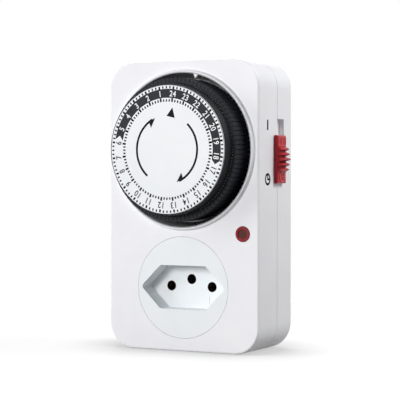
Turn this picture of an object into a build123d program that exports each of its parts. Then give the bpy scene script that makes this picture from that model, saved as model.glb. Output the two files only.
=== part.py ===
from build123d import *
import os
from math import atan2, cos, degrees, pi, radians, sin, tan

# Plug-in 24 hour timer switch.
# Frame: +X right and +Z up as the user sees the dial, +Y away from the user
# towards the wall. The origin is the middle of the case's bottom face.
# A "depth" is measured from the front face of the case towards the wall, so a
# negative depth stands in front of that face.

os.makedirs("parts", exist_ok=True)

# ---------------------------------------------------------------- dimensions

# Case
case_width = 69.0
case_height = 119.0
case_depth = 31.6
case_corner = 11.0
wall = 2.0
split_depth = 17.5
seam_groove = 0.25
seam_half_width = 0.15
front_edge_round = 0.8
back_edge_round = 0.8
lip_height = 1.4
lip_thickness = 0.8
lip_gap = 0.1
seat_gap = 0.05
running_gap = 0.05

# Dial, measured from the front face
dial_axis_height = 82.5
dial_stand = 13.4
face_thickness = 0.4
face_radius = 26.0
knob_radius = 27.0
knob_top_radius = 26.35
knob_rib_depth = 0.35
knob_rib_count = 144
knob_plate = 1.2
knob_spigot_gap = 0.2
knob_spigot_wall = 1.2
knob_spigot_depth = 3.0
dial_turn = 7.65

# Tappets, fifteen minutes each, moulded in blocks
hour_count = 24
tappets_per_hour = 4
hours_per_block = 2
tappet_outer_radius = 29.1
tappet_inner_radius = 27.05
tappet_front = -8.0
tappet_taper_depth = 1.6
tappet_foot_depth = 5.3
tappet_foot_width = 0.8
tappet_travel = 3.0
tappet_side_gap = 0.12
tongue_width = 1.0
tongue_inner_radius = 25.7
tongue_front = -6.0
tongue_back = 2.3
slot_gap = 0.1

# Collar and bowl
collar_height = 1.6
collar_width = 0.5
collar_spread = 0.6
collar_gap = 0.1
bowl_stand = 1.5
bowl_lip = 0.3
bowl_flare = 0.7
bowl_wall = 1.2
throat_gap = 0.5
bowl_throat_depth = 5.5
bowl_floor_depth = 8.8
bowl_floor = 1.2
bowl_flange_lap = 0.5
bowl_flange = 1.1
ear_head_gap = 1.1
ear_radius = 2.4
ear_thickness = 2.0
ear_angles = (40, 140, 220, 320)
ear_root = 0.5

# Dial drum
drum_radius = 26.9
drum_inner_radius = 24.5
drum_back_depth = 7.8
drum_web_depth = 3.0
drum_web = 1.6
hub_radius = 5.0
hub_front = -1.8
hub_end_gap = 0.3
post_radius = 3.0
post_front = -2.0
ring_teeth = 96
output_teeth = 8
output_module = 0.5
output_pinion_gap = 0.3

# Screws
small_screw_radius = 0.9
small_head_radius = 1.8
small_head = 1.2
case_screw_radius = 1.4
case_head_radius = 2.7
case_head = 1.8
case_head_sink = 5.0
screw_gap = 0.05
screw_end_room = 0.5
drive_slot_width = 0.5
dial_screw_length = 7.0
ear_screw_reach = 3.6
plate_screw_reach = 7.0
washer_radius = 5.0
washer_thickness = 0.6

# Reduction train
train_module = 0.3
pinion_teeth = 8
wheel_teeth = (48, 60, 64, 80, 80)
train_headings = (23, 162, 262, 182, 100)
output_heading = 297.5
wheel_width = 1.2
layer_pitch = 1.6
first_layer_depth = 10.6
arbor_radius = 0.5
arbor_seat = 0.8
arbor_end_room = 0.4
output_journal_radius = 1.5
output_front_radius = 1.0
output_tail_radius = 0.6
clutch_flange_radius = 2.8
clutch_flange = 0.4
clutch_clip_radius = 2.6
clutch_clip = 0.3

# Movement plate and motor
plate_depth = 19.2
plate = 1.2
pillar_radius = 2.0
plate_margin = 4.0
pillar_places = ((-24.0, 84.0), (19.0, 90.0), (25.5, 68.0), (-2.5, 53.9))
motor_radius = 14.5
motor_back_gap = 0.4
motor_skin = 0.7
motor_side_gap = 0.1
claw_count = 12
claw_radius = 6.9
claw_width = 1.3
claw_end_gap = 2.3
claw_thickness = 0.5
claw_edge = 0.3
rotor_radius = 5.8
rotor_end_gap = 1.0
rotor_back_gap = 1.1
bobbin_inner_radius = 7.5
bobbin_outer_radius = 13.5
bobbin_wall = 0.6
winding_radius = 12.8

# Follower and microswitch
follower_width = 3.0
follower_thickness = 1.0
follower_floor_gap = 0.4
follower_knuckle_radius = 1.6
follower_pivot_drop = 19.0
follower_top_margin = 0.5
follower_pin_radius = 0.8
follower_lug = 2.0
follower_side_gap = 0.1
nose_inner_radius = 27.2
nose_outer_radius = 28.3
nose_width = 1.2
nose_gap = 0.3
nose_window_margin = 0.5
nose_swing_room = 1.05
switch_length = 20.0
switch_thickness = 6.4
switch_height = 10.0
switch_depth = 15.0
button_arm = 10.6
button_drop = 12.5
button_radius = 1.1
button_length = 5.4
button_travel_room = 2.2
button_gap = 0.2
terminal_thickness = 0.5
terminal_width = 2.4
terminal_back_gap = 0.6
terminal_drops = (17.0, 10.0, 3.0)
switch_screw_inset = 2.5
switch_screw_sink = 7.0
switch_rib = 1.2
switch_rib_gap = 0.1

# Override slider on the right side
override_travel = 6.6
slot_back = 23.8
slot_low = 69.3
slot_high = 95.2
stem_side_gap = 0.3
stem_end_gap = 0.25
knob_front = 14.2
knob_back = 22.6
knob_low = 68.9
knob_length = 19.6
knob_stand = 1.7
knob_rib_stand = 2.3
knob_rib_fall = 0.42
knob_ribs = 5
knob_rib_pitch = 2.1
knob_rib_width = 1.95
knob_rib_crest = 0.45
knob_gap = 0.25
knob_round = 0.6
slider_thickness = 1.2
slider_overlap = 1.2
slider_gap = 0.1
rail_thickness = 1.2
rail_overlap = 1.2
bridge_front = 21.0
bridge_width = 2.7
bridge_thickness = 0.6
bridge_low = 72.0
bridge_length = 16.0
bridge_stand = 2.6
bridge_block_length = 6.0
blade_gap = 0.1
blade_width = 4.0
low_blade = 76.0
high_blade = 92.0

# Socket insert and contacts
socket_height = 26.2
insert_radius = 20.8
insert_gap = 0.12
insert_flange_radius = 22.4
insert_flange = 1.2
recess_depth = 8.0
recess_half_width = 19.5
recess_half_height = 9.0
recess_flat_half = 10.5
recess_round = 1.5
cup_wall = 1.4
pin_spacing = 19.0
earth_offset = 3.0
pin_radius = 2.0
pin_length = 19.0
pin_tip_round = 0.9
pin_shank_radius = 2.4
hole_clearance = 0.1
contact_start_gap = 0.6
contact_gap = 0.1
contact_wall = 0.5
contact_length = 13.0
contact_slit = 0.7
carrier_length = 9.0
carrier_wall = 1.6
carrier_flange = 3.0
carrier_half_width = 19.5
leg_thickness = 2.5
leg_width = 7.0
strap_width = 3.0
strap_thickness = 0.6
strap_side_gap = 0.6
strap_back_gap = 0.2
supply_run_inner = 13.5
supply_run_width = 2.4

# Plug boss on the back
boss_depth = 9.6
boss_half_width = 17.5
boss_half_height = 8.0
boss_flat_half = 9.5
boss_round = 1.5
boss_wall = 1.5
boss_end_wall = 2.0
pin_flange_radius = 3.2
pin_flange = 2.0

# Pilot lamp
lamp_x = 27.4
lamp_height = 48.6
lens_radius = 3.1
lens_centre_radius = 2.2
lens_stand = 0.35
lens_dish = 0.5
lens_skin = 1.2
lens_flange_radius = 4.0
lens_flange = 0.9
lens_sleeve_depth = 8.0
neon_radius = 2.3
neon_gap = 0.3
neon_length = 10.0
lead_radius = 0.3
lead_length = 4.0
resistor_radius = 1.2
resistor_length = 6.0
saddle_radius = 2.2

# Case posts
post_inset = 6.9
front_post_radius = 3.0
rear_post_radius = 3.8
post_joint_depth = 17.0

# ------------------------------------------------------------ worked-out sizes

front_y = -case_depth / 2
half_width = case_width / 2
inner_half_width = half_width - wall
back_wall_depth = case_depth - wall
segment_count = hour_count * tappets_per_hour
segment_angle = 360 / segment_count
bowl_throat_radius = tappet_outer_radius + throat_gap
bowl_skirt_radius = bowl_throat_radius + bowl_wall
bowl_lip_radius = bowl_skirt_radius + bowl_flare
bowl_radius = bowl_lip_radius + bowl_lip
bowl_flange_radius = bowl_radius + bowl_flange_lap
collar_inner_radius = bowl_radius + collar_gap
collar_top_radius = collar_inner_radius + collar_width
collar_foot_radius = collar_top_radius + collar_spread
floor_back_depth = bowl_floor_depth + bowl_floor
ear_reach = bowl_flange_radius + small_head_radius + ear_head_gap
face_back = face_thickness - dial_stand
nose_angle = 90 - dial_turn - segment_angle / 2
hole_radius = pin_radius + hole_clearance
contact_inner_radius = pin_radius + contact_gap
contact_outer_radius = contact_inner_radius + contact_wall
cup_back_depth = recess_depth + cup_wall
contact_start = cup_back_depth + contact_start_gap
contact_end = contact_start + contact_length
boss_back_depth = case_depth + boss_depth
boss_inner_depth = boss_back_depth - boss_end_wall
pin_places = ((pin_spacing / 2, 0.0), (-pin_spacing / 2, 0.0), (0.0, earth_offset))

dial_centre = (0.0, dial_axis_height)
socket_centre = (0.0, socket_height)
lamp_centre = (lamp_x, lamp_height)

# Teeth: tip and root heights in modules, then half widths at root and tip in half pitches
pinion_tooth = (0.8, 1.25, 0.54, 0.30)
wheel_tooth = (0.8, 1.25, 0.60, 0.30)
ring_tooth = (0.7, 1.2, 0.58, 0.30)


# -------------------------------------------------------------------- helpers

def face(depth):
    """Plane that faces the user, its x along +X and its y along +Z."""
    return Plane.XZ.offset(case_depth / 2 - depth)


def side(x):
    """Plane that faces +X, its x along +Y and its y along +Z."""
    return Plane.YZ.offset(x)


def y_of(depth):
    """Y of a depth behind the front face."""
    return front_y + depth


def about(centre, radius, angle):
    """Point at a radius and an angle, counter-clockwise from +X, round a centre."""
    return (centre[0] + radius * cos(radians(angle)), centre[1] + radius * sin(radians(angle)))


def disc(centre, radius, near, far, bore=0.0):
    """Round plate with its axis along Y, between two depths."""
    with BuildPart() as plate_part:
        with BuildSketch(face(far)):
            with Locations(centre):
                Circle(radius)
                if bore > 0:
                    Circle(bore, mode=Mode.SUBTRACT)
        extrude(amount=far - near)
    return plate_part.part


def slab(low, high, near, far):
    """Box between two corners of the front view and two depths."""
    with BuildPart() as slab_part:
        with BuildSketch(face(far)):
            with Locations(((low[0] + high[0]) / 2, (low[1] + high[1]) / 2)):
                Rectangle(high[0] - low[0], high[1] - low[1])
        extrude(amount=far - near)
    return slab_part.part


def screw(centre, radius, head_radius, head, seat, length):
    """Slotted screw whose head stands behind the seat and whose shank runs forward."""
    with BuildPart() as screw_part:
        with BuildSketch(face(seat + head)):
            with Locations(centre):
                Circle(head_radius)
        extrude(amount=head)
        with BuildSketch(face(seat)):
            with Locations(centre):
                Circle(radius)
        extrude(amount=length)
        with BuildSketch(face(seat + head)):
            with Locations(centre):
                Rectangle(2 * head_radius, drive_slot_width)
        extrude(amount=head / 2, mode=Mode.SUBTRACT)
    return screw_part.part


def gear_points(teeth, module, tooth, phase, inside=False):
    """Closed outline of a gear with straight-sided teeth, one tooth centred on the phase."""
    addendum, dedendum, root_share, tip_share = tooth
    sign = -1 if inside else 1
    pitch_radius = module * teeth / 2
    tip = pitch_radius + sign * addendum * module
    root = pitch_radius - sign * dedendum * module
    half_pitch = 180 / teeth
    corners = ((root, -root_share), (tip, -tip_share), (tip, tip_share), (root, root_share))
    points = []
    for number in range(teeth):
        middle = phase + number * 2 * half_pitch
        points += [about((0, 0), radius, middle + share * half_pitch) for radius, share in corners]
    return points


def case_outline(inset, mode=Mode.ADD):
    """Rounded outline of the case, inset all round."""
    with Locations((0, case_height / 2)):
        RectangleRounded(case_width - 2 * inset, case_height - 2 * inset, case_corner - inset, mode=mode)


def hexagon_points(half_wide, half_high, flat_half):
    """Corners of a long hexagon round the socket's centre, tips left and right."""
    return [
        (flat_half, socket_height + half_high),
        (half_wide, socket_height),
        (flat_half, socket_height - half_high),
        (-flat_half, socket_height - half_high),
        (-half_wide, socket_height),
        (-flat_half, socket_height + half_high),
    ]


def hexagon_prism(half_wide, half_high, flat_half, corner, grow, near, far):
    """Long hexagon, moved outwards all round by a distance, between two depths."""
    slope = atan2(half_high, half_wide - flat_half)
    wide = half_wide + grow / sin(slope)
    flat = flat_half + grow * tan(slope / 2)
    with BuildPart() as prism:
        with BuildSketch(face(far)) as outline:
            Polygon(*hexagon_points(wide, half_high + grow, flat), align=None)
            fillet(outline.vertices(), corner + grow)
        extrude(amount=far - near)
    return prism.part


def save(part, name):
    """Label a finished piece and write it."""
    part.label = name
    export_step(part, f"parts/{name}.step")


def save_group(parts, name):
    """Write separate solids of one kind as one node."""
    group = Compound(label=name, children=list(parts))
    export_step(group, f"parts/{name}.step")


# ------------------------------------------------------------------- the case

post_x = half_width - post_inset
case_post_places = [(-post_x, post_inset), (post_x, post_inset)]
case_post_places += [(-post_x, case_height - post_inset), (post_x, case_height - post_inset)]
ear_places = [about(dial_centre, ear_reach, angle) for angle in ear_angles]
flange_back_depth = wall + seat_gap + bowl_flange

with BuildPart() as front_housing:
    with BuildSketch(face(split_depth)):
        case_outline(0)
    extrude(amount=split_depth)
    fillet(front_housing.faces().sort_by(Axis.Y)[0].edges(), front_edge_round)
    with BuildSketch(face(split_depth)):
        case_outline(wall)
    extrude(amount=split_depth - wall, mode=Mode.SUBTRACT)
    # step that takes the rear housing's lip
    with BuildSketch(face(split_depth)):
        case_outline(wall - lip_thickness - lip_gap)
        case_outline(wall)
    extrude(amount=lip_height + lip_gap, mode=Mode.SUBTRACT)
    # half of the shallow groove along the parting line
    with BuildSketch(face(split_depth)):
        case_outline(0)
        case_outline(seam_groove, Mode.SUBTRACT)
    extrude(amount=seam_half_width, mode=Mode.SUBTRACT)
    # raised collar round the dial, its outer side sloping in to a narrow top
    with BuildSketch(face(0)):
        with Locations(dial_centre):
            Circle(collar_foot_radius)
    collar_slope = degrees(atan2(collar_foot_radius - collar_top_radius, collar_height))
    extrude(amount=collar_height, taper=collar_slope)
    # screw posts at the corners, and small bosses for the bowl's ears
    with BuildSketch(face(post_joint_depth)):
        with Locations(*case_post_places):
            Circle(front_post_radius)
    extrude(amount=post_joint_depth - wall)
    with BuildSketch(face(flange_back_depth)):
        with Locations(*ear_places):
            Circle(ear_radius)
    extrude(amount=flange_back_depth - wall)
    # openings for the dial, the socket insert and the pilot lens
    with BuildSketch(face(wall)):
        with Locations(dial_centre):
            Circle(collar_inner_radius)
    extrude(amount=wall + collar_height, mode=Mode.SUBTRACT)
    with BuildSketch(face(wall)):
        with Locations(socket_centre):
            Circle(insert_radius + insert_gap)
        with Locations(lamp_centre):
            Circle(lens_radius + insert_gap)
    extrude(amount=wall, mode=Mode.SUBTRACT)
    # blind screw holes
    with BuildSketch(face(post_joint_depth)):
        with Locations(*case_post_places):
            Circle(case_screw_radius + screw_gap)
    extrude(amount=post_joint_depth - 2 * wall, mode=Mode.SUBTRACT)
    with BuildSketch(face(flange_back_depth)):
        with Locations(*ear_places):
            Circle(small_screw_radius + screw_gap)
    extrude(amount=flange_back_depth - wall / 2, mode=Mode.SUBTRACT)
save(front_housing.part, "front_housing")

# The lever under the pointer and the microswitch share one line.
nose_place = about(dial_centre, (nose_inner_radius + nose_outer_radius) / 2, nose_angle)
nose_x = nose_place[0]
pivot_height = nose_place[1] - follower_pivot_drop
button_height = pivot_height + button_arm
switch_top_height = button_height + button_drop
switch_low_height = switch_top_height - switch_length
switch_back_depth = switch_depth + switch_height
rib_far_x = nose_x - switch_thickness / 2 - switch_rib_gap
switch_screw_heights = (switch_low_height + switch_screw_inset, switch_top_height - switch_screw_inset)
switch_screw_depth = switch_depth + switch_screw_sink
slider_x = inner_half_width - slider_gap - slider_thickness
slider_near = split_depth - slider_overlap
slider_far = slot_back + slider_overlap
slider_low = slot_low - slider_overlap - override_travel
slider_top = slot_high + slider_overlap
head_seat_depth = case_depth - case_head_sink - case_head
lens_bore_depth = lens_skin - lens_stand + lens_dish
neon_near = lens_bore_depth + neon_gap
neon_far = neon_near + neon_length
resistor_near = neon_far + lead_length
resistor_far = resistor_near + resistor_length

with BuildPart() as rear_housing:
    with BuildSketch(face(case_depth)):
        case_outline(0)
    extrude(amount=case_depth - split_depth)
    fillet(rear_housing.faces().sort_by(Axis.Y)[-1].edges(), back_edge_round)
    with BuildSketch(face(back_wall_depth)):
        case_outline(wall)
    extrude(amount=back_wall_depth - split_depth, mode=Mode.SUBTRACT)
    # lip that goes inside the front housing
    with BuildSketch(face(split_depth)):
        case_outline(wall - lip_thickness)
        case_outline(wall, Mode.SUBTRACT)
    extrude(amount=lip_height)
    # the other half of the groove along the parting line
    with BuildSketch(face(split_depth + seam_half_width)):
        case_outline(0)
        case_outline(seam_groove, Mode.SUBTRACT)
    extrude(amount=seam_half_width, mode=Mode.SUBTRACT)
    # screw posts
    with BuildSketch(face(back_wall_depth)):
        with Locations(*case_post_places):
            Circle(rear_post_radius)
    extrude(amount=back_wall_depth - post_joint_depth - seat_gap)
    # rib beside the microswitch, and the saddle behind the pilot lamp
    add(
        slab(
            (rib_far_x - switch_rib, switch_low_height),
            (rib_far_x, switch_top_height),
            switch_depth + button_gap,
            back_wall_depth,
        )
    )
    add(disc(lamp_centre, saddle_radius, resistor_far, back_wall_depth))
    # rail that guides the slider's back edge
    add(
        slab(
            (slider_x - slider_gap - rail_thickness, slider_low),
            (slider_x - slider_gap, slider_top + override_travel),
            slider_far + slider_gap - rail_overlap,
            slider_far + slider_gap + rail_thickness,
        )
    )
    add(
        slab(
            (slider_x - slider_gap, slider_low),
            (inner_half_width + wall / 2, slider_top + override_travel),
            slider_far + slider_gap,
            slider_far + slider_gap + rail_thickness,
        )
    )
    # hollow boss that carries the plug pins
    add(
        hexagon_prism(
            boss_half_width, boss_half_height, boss_flat_half, boss_round, 0, back_wall_depth, boss_back_depth
        )
    )
    add(
        hexagon_prism(
            boss_half_width,
            boss_half_height,
            boss_flat_half,
            boss_round + boss_wall,
            -boss_wall,
            back_wall_depth,
            boss_inner_depth,
        ),
        mode=Mode.SUBTRACT,
    )
    with BuildSketch(face(boss_back_depth)):
        with Locations(socket_centre):
            with Locations(*pin_places):
                Circle(pin_shank_radius + seat_gap)
    extrude(amount=boss_end_wall, mode=Mode.SUBTRACT)
    # counterbored holes for the case screws
    with BuildSketch(face(case_depth)):
        with Locations(*case_post_places):
            Circle(case_head_radius + 3 * screw_gap)
    extrude(amount=case_depth - head_seat_depth, mode=Mode.SUBTRACT)
    with BuildSketch(face(head_seat_depth)):
        with Locations(*case_post_places):
            Circle(case_screw_radius + screw_gap)
    extrude(amount=head_seat_depth - post_joint_depth, mode=Mode.SUBTRACT)
    # slot for the override slider, open to the parting line
    with BuildSketch(side(inner_half_width)):
        with Locations(((y_of(split_depth - lip_height) + y_of(slot_back)) / 2, (slot_low + slot_high) / 2)):
            Rectangle(slot_back - split_depth + lip_height, slot_high - slot_low)
    extrude(amount=wall, mode=Mode.SUBTRACT)
    # screw holes through the microswitch's rib
    with BuildSketch(side(rib_far_x - switch_rib)):
        with Locations(*[(y_of(switch_screw_depth), height) for height in switch_screw_heights]):
            Circle(small_screw_radius + screw_gap)
    extrude(amount=switch_rib, mode=Mode.SUBTRACT)
save(rear_housing.part, "rear_housing")

case_screw_length = head_seat_depth - 2 * wall - screw_end_room
case_screws = [
    screw(place, case_screw_radius, case_head_radius, case_head, head_seat_depth, case_screw_length)
    for place in case_post_places
]
save_group(case_screws, "case_screws")

# --------------------------------------------------------- gear train places

output_reach = output_module * (ring_teeth - output_teeth) / 2
train_places = [about(dial_centre, output_reach, output_heading)]
for number in range(len(wheel_teeth) - 1, -1, -1):
    reach = train_module * (pinion_teeth + wheel_teeth[number]) / 2
    train_places.insert(0, about(train_places[0], reach, train_headings[number]))
output_place = train_places[-1]
arbor_places = train_places[1:-1]
motor_place = train_places[0]

# ------------------------------------------------------------------- the bowl

lever_near = floor_back_depth + follower_floor_gap
lever_far = lever_near + follower_thickness
pivot_depth = lever_near + follower_knuckle_radius
lever_half = follower_width / 2
lug_near_x = lever_half + follower_side_gap
lug_far_x = lug_near_x + follower_lug
lug_half = follower_knuckle_radius + nose_gap
window_outer_radius = nose_outer_radius + nose_swing_room
window_inner_radius = nose_inner_radius - nose_window_margin
window_middle = about(dial_centre, (window_outer_radius + window_inner_radius) / 2, nose_angle)

with BuildPart() as dial_bowl:
    # turned trough, its wall closing in like a funnel down to a throat
    section_plane = Plane(origin=(0, front_y, dial_axis_height), x_dir=(1, 0, 0), z_dir=(0, 0, -1))
    with BuildSketch(section_plane):
        Polygon(
            (0, -floor_back_depth),
            (bowl_skirt_radius, -floor_back_depth),
            (bowl_skirt_radius, -flange_back_depth),
            (bowl_flange_radius, -flange_back_depth),
            (bowl_flange_radius, -wall - seat_gap),
            (bowl_radius, -wall - seat_gap),
            (bowl_radius, bowl_stand),
            (bowl_lip_radius, bowl_stand),
            (bowl_throat_radius, -bowl_throat_depth),
            (bowl_throat_radius, -bowl_floor_depth),
            (0, -bowl_floor_depth),
            align=None,
        )
    revolve(axis=Axis((0, 0, dial_axis_height), (0, 1, 0)))
    # post that the dial turns on
    add(disc(dial_centre, post_radius, post_front, floor_back_depth, small_screw_radius + screw_gap))
    # ears that take the screws into the front housing
    for angle in ear_angles:
        with BuildSketch(face(flange_back_depth + ear_thickness)):
            with Locations(about(dial_centre, ear_reach, angle)):
                Circle(ear_radius)
            with Locations(Location(about(dial_centre, (ear_reach + bowl_skirt_radius) / 2, angle), angle)):
                Rectangle(ear_reach - bowl_skirt_radius + ear_root, 2 * ear_radius)
        extrude(amount=ear_thickness)
    with BuildSketch(face(flange_back_depth + ear_thickness)):
        with Locations(*ear_places):
            Circle(small_screw_radius + screw_gap)
    extrude(amount=ear_thickness, mode=Mode.SUBTRACT)
    # pillars for the movement plate
    with BuildSketch(face(plate_depth)):
        with Locations(*pillar_places):
            Circle(pillar_radius)
            Circle(small_screw_radius + screw_gap, mode=Mode.SUBTRACT)
    extrude(amount=plate_depth - floor_back_depth)
    # seats for the arbors and a hole for the output shaft
    with BuildSketch(face(floor_back_depth)):
        with Locations(*arbor_places):
            Circle(arbor_radius)
    extrude(amount=arbor_seat, mode=Mode.SUBTRACT)
    with BuildSketch(face(floor_back_depth)):
        with Locations(output_place):
            Circle(output_journal_radius + running_gap)
    extrude(amount=bowl_floor, mode=Mode.SUBTRACT)
    # window for the follower's nose
    with BuildSketch(face(floor_back_depth)):
        with Locations(Location(window_middle, nose_angle)):
            Rectangle(window_outer_radius - window_inner_radius, nose_width + 2 * nose_window_margin)
    extrude(amount=bowl_floor, mode=Mode.SUBTRACT)
    # lugs that hold the follower's pin
    for x in (nose_x - lug_far_x, nose_x + lug_near_x):
        with BuildSketch(side(x)):
            with Locations((y_of((floor_back_depth + pivot_depth) / 2), pivot_height)):
                Rectangle(pivot_depth - floor_back_depth, 2 * lug_half)
            with Locations((y_of(pivot_depth), pivot_height)):
                Circle(lug_half)
                Circle(follower_pin_radius, mode=Mode.SUBTRACT)
        extrude(amount=follower_lug)
save(dial_bowl.part, "dial_bowl")

# ------------------------------------------------------------------- the dial

with BuildPart() as dial_carrier:
    add(disc(dial_centre, drum_radius, tappet_front, drum_back_depth, drum_inner_radius))
    add(disc(dial_centre, drum_radius, drum_web_depth, drum_web_depth + drum_web))
    add(disc(dial_centre, hub_radius, hub_front, bowl_floor_depth - hub_end_gap))
    # internal ring gear behind the web
    with BuildSketch(face(drum_back_depth)):
        with Locations(dial_centre):
            Circle(drum_radius)
            Polygon(
                *gear_points(ring_teeth, output_module, ring_tooth, output_heading + 180 / ring_teeth, True),
                align=None,
                mode=Mode.SUBTRACT,
            )
    extrude(amount=drum_back_depth - drum_web_depth - drum_web)
    # bore on the bowl's post
    with BuildSketch(face(bowl_floor_depth - hub_end_gap)):
        with Locations(dial_centre):
            Circle(post_radius + running_gap)
    extrude(amount=bowl_floor_depth - hub_end_gap - hub_front, mode=Mode.SUBTRACT)
    # guide slots for the tappets' tongues
    slot_inner = tongue_inner_radius - slot_gap
    slot_far = tongue_back + tappet_travel + slot_gap
    with BuildSketch(face(slot_far)):
        with Locations(dial_centre):
            with PolarLocations((slot_inner + drum_radius + 1) / 2, segment_count, nose_angle):
                Rectangle(drum_radius + 1 - slot_inner, tongue_width + 2 * slot_gap)
    extrude(amount=slot_far - tongue_front + slot_gap, mode=Mode.SUBTRACT)
save(dial_carrier.part, "dial_carrier")

tappet_width = 2 * pi * tappet_inner_radius / segment_count - tappet_side_gap
tappets_per_block = hours_per_block * tappets_per_hour
with BuildPart() as tappet:
    # pentagonal segment, its foot tapered like a ratchet tooth
    with BuildSketch(side(tappet_inner_radius)):
        Polygon(
            (y_of(tappet_front), -tappet_width / 2),
            (y_of(tappet_front), tappet_width / 2),
            (y_of(tappet_taper_depth), tappet_width / 2),
            (y_of(tappet_foot_depth), tappet_foot_width / 2),
            (y_of(tappet_foot_depth), -tappet_foot_width / 2),
            (y_of(tappet_taper_depth), -tappet_width / 2),
            align=None,
        )
    extrude(amount=tappet_outer_radius - tappet_inner_radius)
    # tongue in the drum's slot
    with BuildSketch(side(tongue_inner_radius)):
        with Locations((y_of((tongue_front + tongue_back) / 2), 0)):
            Rectangle(tongue_back - tongue_front, tongue_width)
    extrude(amount=tappet_inner_radius - tongue_inner_radius)
for block in range(hour_count // hours_per_block):
    members = []
    for number in range(block * tappets_per_block, (block + 1) * tappets_per_block):
        angle = 90 - dial_turn + (number + 0.5) * segment_angle
        turned = tappet.part.rotate(Axis.Y, -angle).moved(Location((0, 0, dial_axis_height)))
        members.append(turned)
    save_group(members, f"tappets_{block * hours_per_block:02d}_{(block + 1) * hours_per_block:02d}")

spigot_radius = drum_inner_radius - knob_spigot_gap
spigot_bore = spigot_radius - knob_spigot_wall
with BuildPart() as dial_knob:
    with BuildSketch(face(tappet_front)):
        with Locations(dial_centre):
            Circle(knob_radius)
    knob_slope = degrees(atan2(knob_radius - knob_top_radius, tappet_front - face_back))
    extrude(amount=tappet_front - face_back, taper=knob_slope)
    add(disc(dial_centre, spigot_radius, tappet_front, tappet_front + knob_spigot_depth))
    with BuildSketch(face(tappet_front + knob_spigot_depth)):
        with Locations(dial_centre):
            Circle(spigot_bore)
    extrude(amount=tappet_front + knob_spigot_depth - face_back - knob_plate, mode=Mode.SUBTRACT)
    # fine grip grooves, shallow enough to leave the edge round the face whole
    groove_radius = knob_radius - knob_rib_depth
    groove_width = pi * knob_radius / knob_rib_count
    with BuildSketch(face(tappet_front)):
        with Locations(dial_centre):
            with PolarLocations(groove_radius + groove_width, knob_rib_count):
                Rectangle(2 * groove_width, groove_width)
    extrude(amount=tappet_front - face_back, mode=Mode.SUBTRACT)
save(dial_knob.part, "dial_knob")

save(disc(dial_centre, face_radius, face_back - face_thickness, face_back), "dial_face")

washer_back = post_front
washer_front = washer_back - washer_thickness
save(disc(dial_centre, washer_radius, washer_front, washer_back, small_screw_radius + screw_gap), "dial_washer")

with BuildPart() as dial_screw:
    add(disc(dial_centre, small_head_radius, washer_front - small_head, washer_front))
    add(disc(dial_centre, small_screw_radius, washer_front, washer_front + dial_screw_length))
    with BuildSketch(face(washer_front - small_head / 2)):
        with Locations(dial_centre):
            Rectangle(2 * small_head_radius, drive_slot_width)
    extrude(amount=small_head / 2, mode=Mode.SUBTRACT)
save(dial_screw.part, "dial_screw")

# ------------------------------------------------------------- the gear train

layer_depths = [first_layer_depth + layer_pitch * layer for layer in range(len(wheel_teeth) - 1, -1, -1)]

for number in range(1, len(wheel_teeth)):
    near = layer_depths[number - 1]
    teeth = wheel_teeth[number - 1]
    with BuildPart() as wheel:
        with BuildSketch(face(near + wheel_width)):
            with Locations(train_places[number]):
                Polygon(
                    *gear_points(
                        teeth, train_module, wheel_tooth, train_headings[number - 1] + 180 / teeth
                    ),
                    align=None,
                )
        extrude(amount=wheel_width)
        with BuildSketch(face(near)):
            with Locations(train_places[number]):
                Polygon(
                    *gear_points(pinion_teeth, train_module, pinion_tooth, train_headings[number] + 180),
                    align=None,
                )
        extrude(amount=layer_pitch)
        with BuildSketch(face(near + wheel_width)):
            with Locations(train_places[number]):
                Circle(arbor_radius + running_gap)
        extrude(amount=wheel_width + layer_pitch, mode=Mode.SUBTRACT)
    save(wheel.part, f"wheel_{number}")

arbor_near = floor_back_depth - arbor_seat
arbor_far = plate_depth + plate - arbor_end_room
save_group([disc(place, arbor_radius, arbor_near, arbor_far) for place in arbor_places], "gear_arbors")

clutch_near = layer_depths[-1]
clutch_far = clutch_near + wheel_width
with BuildPart() as clutch_wheel:
    with BuildSketch(face(clutch_far)):
        with Locations(output_place):
            Polygon(
                *gear_points(
                    wheel_teeth[-1], train_module, wheel_tooth, train_headings[-1] + 180 / wheel_teeth[-1]
                ),
                align=None,
            )
            Circle(output_journal_radius + running_gap, mode=Mode.SUBTRACT)
    extrude(amount=wheel_width)
save(clutch_wheel.part, "clutch_wheel")

clip_near = clutch_far + seat_gap
journal_far = clip_near + clutch_clip
shaft_shoulder = drum_back_depth + seat_gap
output_near = drum_web_depth + drum_web + output_pinion_gap
with BuildPart() as output_shaft:
    add(disc(output_place, output_front_radius, output_near, shaft_shoulder))
    add(disc(output_place, output_journal_radius, shaft_shoulder, journal_far))
    add(disc(output_place, clutch_flange_radius, clutch_near - seat_gap - clutch_flange, clutch_near - seat_gap))
    add(disc(output_place, output_tail_radius, journal_far, arbor_far))
save(output_shaft.part, "output_shaft")

save(disc(output_place, clutch_clip_radius, clip_near, journal_far, output_journal_radius), "clutch_clip")

with BuildPart() as output_pinion:
    with BuildSketch(face(shaft_shoulder)):
        with Locations(output_place):
            Polygon(
                *gear_points(output_teeth, output_module, pinion_tooth, output_heading),
                align=None,
            )
            Circle(output_front_radius, mode=Mode.SUBTRACT)
    extrude(amount=shaft_shoulder - output_near)
save(output_pinion.part, "output_pinion")

plate_back = plate_depth + plate
with BuildPart() as movement_plate:
    with BuildSketch(face(plate_back)):
        with Locations(*pillar_places, *train_places):
            Circle(plate_margin)
        make_hull()
        with Locations(*pillar_places):
            Circle(small_screw_radius + screw_gap, mode=Mode.SUBTRACT)
        with Locations(*arbor_places):
            Circle(arbor_radius, mode=Mode.SUBTRACT)
        with Locations(motor_place):
            Circle(arbor_radius + running_gap, mode=Mode.SUBTRACT)
        with Locations(output_place):
            Circle(output_tail_radius + running_gap, mode=Mode.SUBTRACT)
    extrude(amount=plate)
save(movement_plate.part, "movement_plate")

# ------------------------------------------------------------------ the motor

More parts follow.
